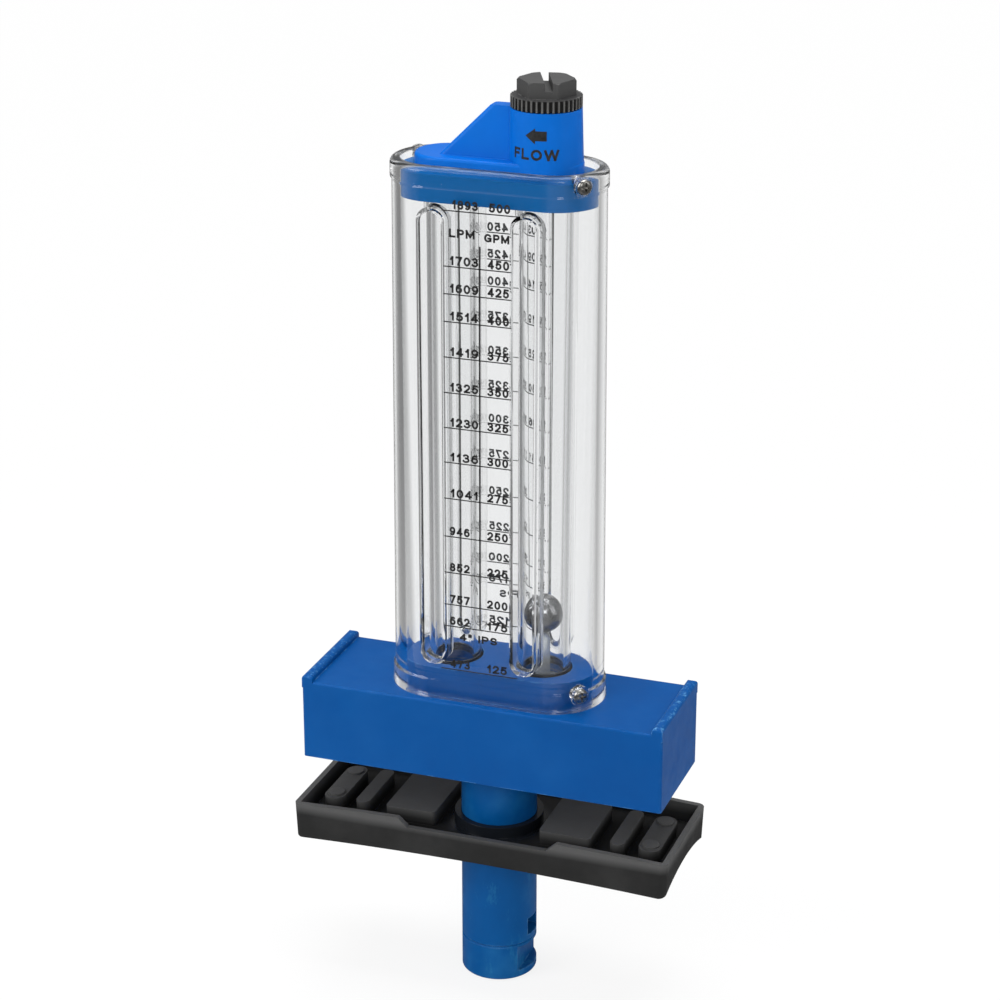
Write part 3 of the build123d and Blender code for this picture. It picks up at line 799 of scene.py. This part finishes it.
def make_scale(name, turned):
    bm = bmesh.new()
    for z, left_text, right_text in TICKS:
        drift = 0.5 * (216 - z) / 124
        bar(bm, -9.7 - drift, 8.15, z - 0.15, z + 0.15)
        left, right = (-8.0, -0.45) if len(left_text) == 4 else (-8.25, -2.75)
        lettering(bm, left_text, left - drift, right - drift, z + 0.42, 2.35)
        lettering(bm, right_text, 2.0 - drift, 7.6 - drift, z + 0.35, 2.35)
    bar(bm, -10.1, 9.9, 216.15, 216.45)
    bar(bm, -11.2, 9.9, 92.95, 93.25)
    lettering(bm, "1893", -7.3, -0.55, 216.8, 2.3)
    lettering(bm, "500", 2.3, 7.8, 216.8, 2.3)
    lettering(bm, "473", -8.6, -3.2, 93.6, 2.3)
    lettering(bm, "125", 1.5, 7.0, 93.6, 2.3)
    ribbon(bm, [(-0.15, 216.2 if turned else 207.7), (-0.35, 105.5)], 0.45)
    lettering(bm, "LPM", -8.17, -1.45, 209.6, 2.2)
    lettering(bm, "GPM", 1.02, 7.57, 209.2, 2.15)
    lettering(bm, '4" IPS', -6.0, 4.3, 101.6, 2.1)
    rise = REAR_RISE if turned else 0.0
    for v in bm.verts:
        z = v.co.z + rise
        lean = BODY_R - shell_radius(z)
        y = v.co.y - shell_radius(z)
        v.co = (v.co.x - 0.355 * lean, y, z - 0.38 * lean)
        if turned:
            v.co.x, v.co.y = -v.co.x, -v.co.y
    obj = mesh_object(name, bm)
    obj.data.materials.append(print_ink)
    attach(obj, "meter")


make_scale("printed_scale_front", False)
make_scale("printed_scale_rear", True)


# Arrow and word on the boss, bent round its cone
def make_flow_mark():
    arrow = [
        (9.9, 235.35), (12.5, 237.3), (12.5, 236.6), (15.4, 236.6),
        (15.4, 234.2), (12.5, 234.2), (12.5, 233.4),
    ]
    bm = bmesh.new()
    front = [bm.verts.new((x, -INK_FRONT, z)) for x, z in arrow]
    back = [bm.verts.new((x, -INK_BACK, z)) for x, z in arrow]
    bm.faces.new(front)
    bm.faces.new(list(reversed(back)))
    for i in range(len(arrow)):
        j = (i + 1) % len(arrow)
        bm.faces.new((front[i], back[i], back[j], front[j]))
    lettering(bm, "FLOW", 6.3, 18.5, 229.4, 2.7, 0.62)
    x = 6.0
    while x < 19:
        geometry = bm.verts[:] + bm.edges[:] + bm.faces[:]
        bmesh.ops.bisect_plane(bm, geom=geometry, plane_co=(x, 0, 0), plane_no=(1, 0, 0))
        x += 0.35
    for v in bm.verts:
        radius = BOSS_BASE_R - BOSS_TAPER * (v.co.z - BOSS_BOTTOM) / BOSS_HEIGHT - v.co.y
        angle = (v.co.x - TUBE_X) / 9.1
        v.co = (TUBE_X + radius * math.sin(angle), -radius * math.cos(angle), v.co.z)
    obj = mesh_object("flow_mark", bm)
    obj.data.materials.append(print_ink)
    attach(obj, "meter")


make_flow_mark()


# Stage: pale floor, light world, soft lamps
def facing(tree, source, axis, stops):
    """Grey by how far a direction leans along an axis, from 0 (against it) to 1 (along it)."""
    lean = add(tree, "ShaderNodeVectorMath", operation="DOT_PRODUCT")
    lean.inputs[1].default_value = axis
    tree.links.new(source, lean.inputs[0])
    return ramp(tree, scaled(tree, lean.outputs["Value"], 0.5, 0.5), stops)


# The camera's right and its forward on the level, as fitted to the photograph
CAMERA_RIGHT = (0.941, 0.338, 0.0)
CAMERA_AHEAD = (-0.338, 0.941, 0.0)
# Grey of the room from the camera's left, at 0, to its right, at 1
CARDS = [
    (0.0, 0.85), (0.03, 0.7), (0.08, 0.22), (0.20, 0.22), (0.29, 0.45),
    (0.35, 1.0), (0.68, 1.0), (0.78, 0.72), (0.90, 0.4), (1.0, 0.85),
]


def surround(tree, direction):
    """What glass and metal see: a room of light and dark bands, laid out along the main camera's axes.

    The bands are fixed in the world, and they suit that one view: from others the clear body is greyer.
    """
    sheet = facing(tree, direction, CAMERA_RIGHT, CARDS)
    behind = facing(tree, direction, CAMERA_AHEAD, [(0.42, 0.55), (0.62, 1.0)])
    return blend_colour(tree, 1.0, sheet, behind, "MULTIPLY")


def dimmed(tree, colour):
    """The same colour at full strength through glass, and a third of it in a reflection."""
    share = ramp(tree, ray(tree, "Is Transmission Ray"), [(0.0, 0.33), (1.0, 1.0)])
    return blend_colour(tree, 1.0, colour, share, "MULTIPLY")


def make_stage():
    """Floor that keeps the shadow, looks white to the camera and shows glass and metal the room."""
    bm = bmesh.new()
    bmesh.ops.create_circle(bm, cap_ends=True, segments=64, radius=7000)
    floor = mesh_object("floor", bm)
    floor.location.z = -0.0004
    material, tree = new_material("floor_look")
    diffuse = add(tree, "ShaderNodeBsdfDiffuse")
    diffuse.inputs["Color"].default_value = (0.82, 0.82, 0.82, 1)
    place = add(tree, "ShaderNodeTexCoord")
    direction = add(tree, "ShaderNodeVectorMath", operation="NORMALIZE")
    tree.links.new(place.outputs["Object"], direction.inputs[0])
    reach = length(tree, place.outputs["Object"])
    near = ramp(tree, reach, [(0.08, 0.25), (0.26, 0.0)])
    room = surround(tree, direction.outputs[0])
    seen = dimmed(tree, blend_colour(tree, 1.0, room, near, "LIGHTEN"))
    glow = add(tree, "ShaderNodeEmission")
    tree.links.new(blend_colour(tree, ray(tree, "Is Camera Ray"), seen, (1, 1, 1)), glow.inputs["Color"])
    far = ramp(tree, reach, [(0.12, 0.84), (0.45, 0.99)])
    amount = calc(tree, far, ray(tree, "Is Camera Ray", "Is Transmission Ray", "Is Glossy Ray"))
    mix = add(tree, "ShaderNodeMixShader")
    tree.links.new(amount, mix.inputs[0])
    tree.links.new(diffuse.outputs[0], mix.inputs[1])
    tree.links.new(glow.outputs[0], mix.inputs[2])
    out = add(tree, "ShaderNodeOutputMaterial")
    tree.links.new(mix.outputs[0], out.inputs[0])
    floor.data.materials.append(material)


def make_world():
    """White to the camera, the room to glass and metal, and soft even light to the rest."""
    world = bpy.data.worlds.new("studio")
    world.use_nodes = True
    scene.world = world
    tree = world.node_tree
    tree.nodes.clear()
    place = add(tree, "ShaderNodeTexCoord")
    direction = place.outputs["Generated"]
    overhead = facing(tree, direction, (0.0, 0.0, 1.0), [(0.5, 0.10), (0.62, 0.30), (0.80, 0.75), (1.0, 1.0)])
    seen_colour = dimmed(tree, blend_colour(tree, 1.0, surround(tree, direction), overhead, "LIGHTEN"))
    seen = add(tree, "ShaderNodeBackground", Strength=1.0)
    tree.links.new(seen_colour, seen.inputs["Color"])
    soft = add(tree, "ShaderNodeBackground", Strength=0.62)
    white = add(tree, "ShaderNodeBackground", Strength=1.0)
    first = add(tree, "ShaderNodeMixShader")
    tree.links.new(ray(tree, "Is Glossy Ray", "Is Transmission Ray"), first.inputs[0])
    tree.links.new(soft.outputs[0], first.inputs[1])
    tree.links.new(seen.outputs[0], first.inputs[2])
    second = add(tree, "ShaderNodeMixShader")
    tree.links.new(ray(tree, "Is Camera Ray"), second.inputs[0])
    tree.links.new(first.outputs[0], second.inputs[1])
    tree.links.new(white.outputs[0], second.inputs[2])
    out = add(tree, "ShaderNodeOutputWorld")
    tree.links.new(second.outputs[0], out.inputs[0])


LAMP_TARGET = Vector((0, 0, 0.12))


def softbox(name, place, width, height, power):
    light = bpy.data.lights.new(name, "AREA")
    light.shape = "RECTANGLE"
    light.size = width
    light.size_y = height
    light.energy = power
    lamp = bpy.data.objects.new(name, light)
    scene.collection.objects.link(lamp)
    lamp.location = place
    aim = LAMP_TARGET - Vector(place)
    lamp.rotation_euler = aim.to_track_quat("-Z", "Y").to_euler()


make_stage()
make_world()
softbox("left_softbox", (-0.75, -0.75, 0.75), 0.6, 0.9, 8.5)
softbox("right_softbox", (1.05, -0.15, 0.55), 0.5, 0.9, 2.5)
softbox("top_softbox", (0.0, 0.15, 1.15), 0.9, 0.6, 9.0)
softbox("front_softbox", (0.36, -0.62, 0.50), 0.26, 0.26, 1.0)

# Camera, as fitted to the photograph
camera_data = bpy.data.cameras.new("camera")
camera_data.lens = 98.22
camera_data.sensor_width = 36.0
camera = bpy.data.objects.new("camera", camera_data)
scene.collection.objects.link(camera)
right = Vector((0.94100, 0.33841, -0.00046))
up = Vector((-0.12121, 0.33829, 0.93320))
forward = Vector((-0.31596, 0.87809, -0.35935))
turn = Matrix((right, up, -forward)).transposed().to_4x4()
camera.matrix_world = Matrix.Translation((0.223076, -0.619320, 0.389978)) @ turn
scene.camera = camera

scene.view_settings.view_transform = "Standard"
scene.cycles.max_bounces = 24
scene.cycles.transmission_bounces = 24
scene.cycles.transparent_max_bounces = 24
scene.cycles.glossy_bounces = 6
scene.cycles.diffuse_bounces = 4
scene.cycles.caustics_reflective = False
scene.cycles.caustics_refractive = False
